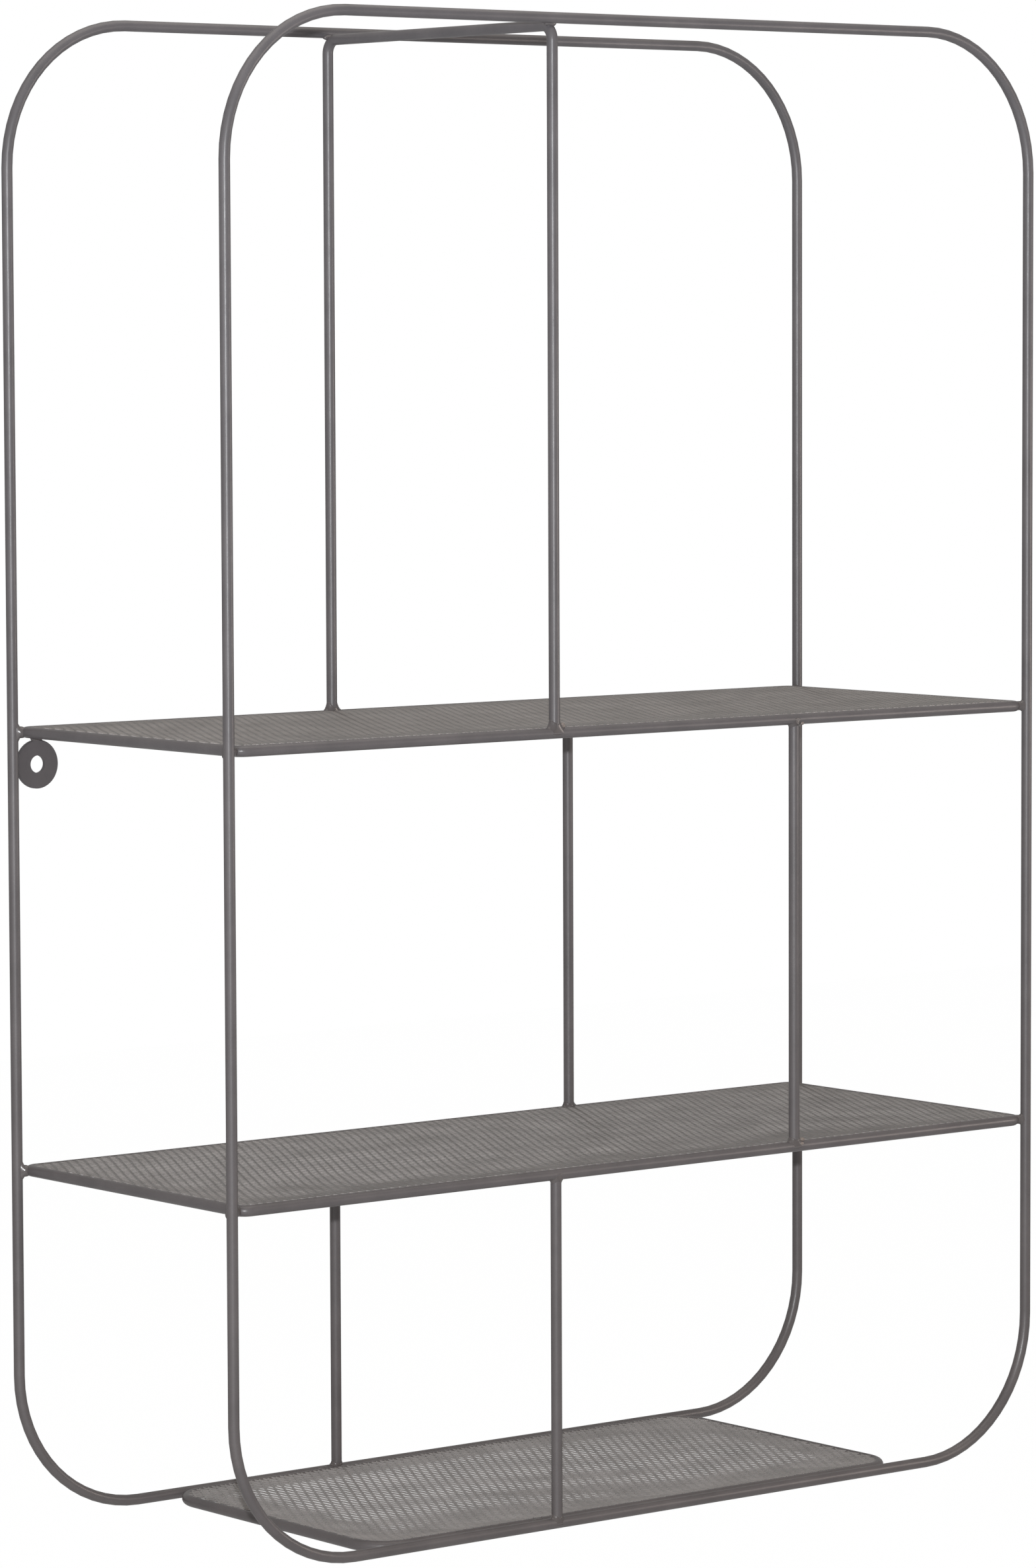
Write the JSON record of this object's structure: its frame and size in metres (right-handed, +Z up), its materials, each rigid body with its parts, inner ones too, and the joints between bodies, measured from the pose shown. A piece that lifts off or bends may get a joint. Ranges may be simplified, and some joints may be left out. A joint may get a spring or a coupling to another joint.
{
  "type": "wall shelf",
  "caption": "Wire wall shelf: two round-cornered rod loops carry mesh shelves and a mesh tray, with rod dividers and a wall eyelet.",
  "frame": {"origin": "middle of the footprint at the underside of the bottom rails", "axes": "+X to the right seen from the front, +Y towards the wall, +Z up"},
  "size_m": [0.6, 0.216, 0.86],
  "materials": {
    "rod_coat": "satin warm-grey powder coat on round steel rod",
    "mesh_coat": "satin warm-grey powder coat on expanded steel mesh",
    "weld_coat": "satin warm-grey powder coat over weld beads"
  },
  "bodies": {
    "root": {"front_loop": "rod_coat", "rear_loop": "rod_coat", "top_divider": "rod_coat", "middle_post_front": "rod_coat", "middle_post_rear": "rod_coat", "bottom_post_front": "rod_coat", "bottom_post_rear": "rod_coat", "upper_shelf_frame": "rod_coat", "middle_shelf_frame": "rod_coat", "tray_frame": "rod_coat", "wall_eyelet": "rod_coat", "upper_shelf_mesh": "mesh_coat", "middle_shelf_mesh": "mesh_coat", "tray_mesh": "mesh_coat", "corner_welds": "weld_coat", "post_welds": "weld_coat", "divider_welds": "weld_coat", "tray_welds": "weld_coat", "eyelet_welds": "weld_coat"}
  },
  "joints": []
}
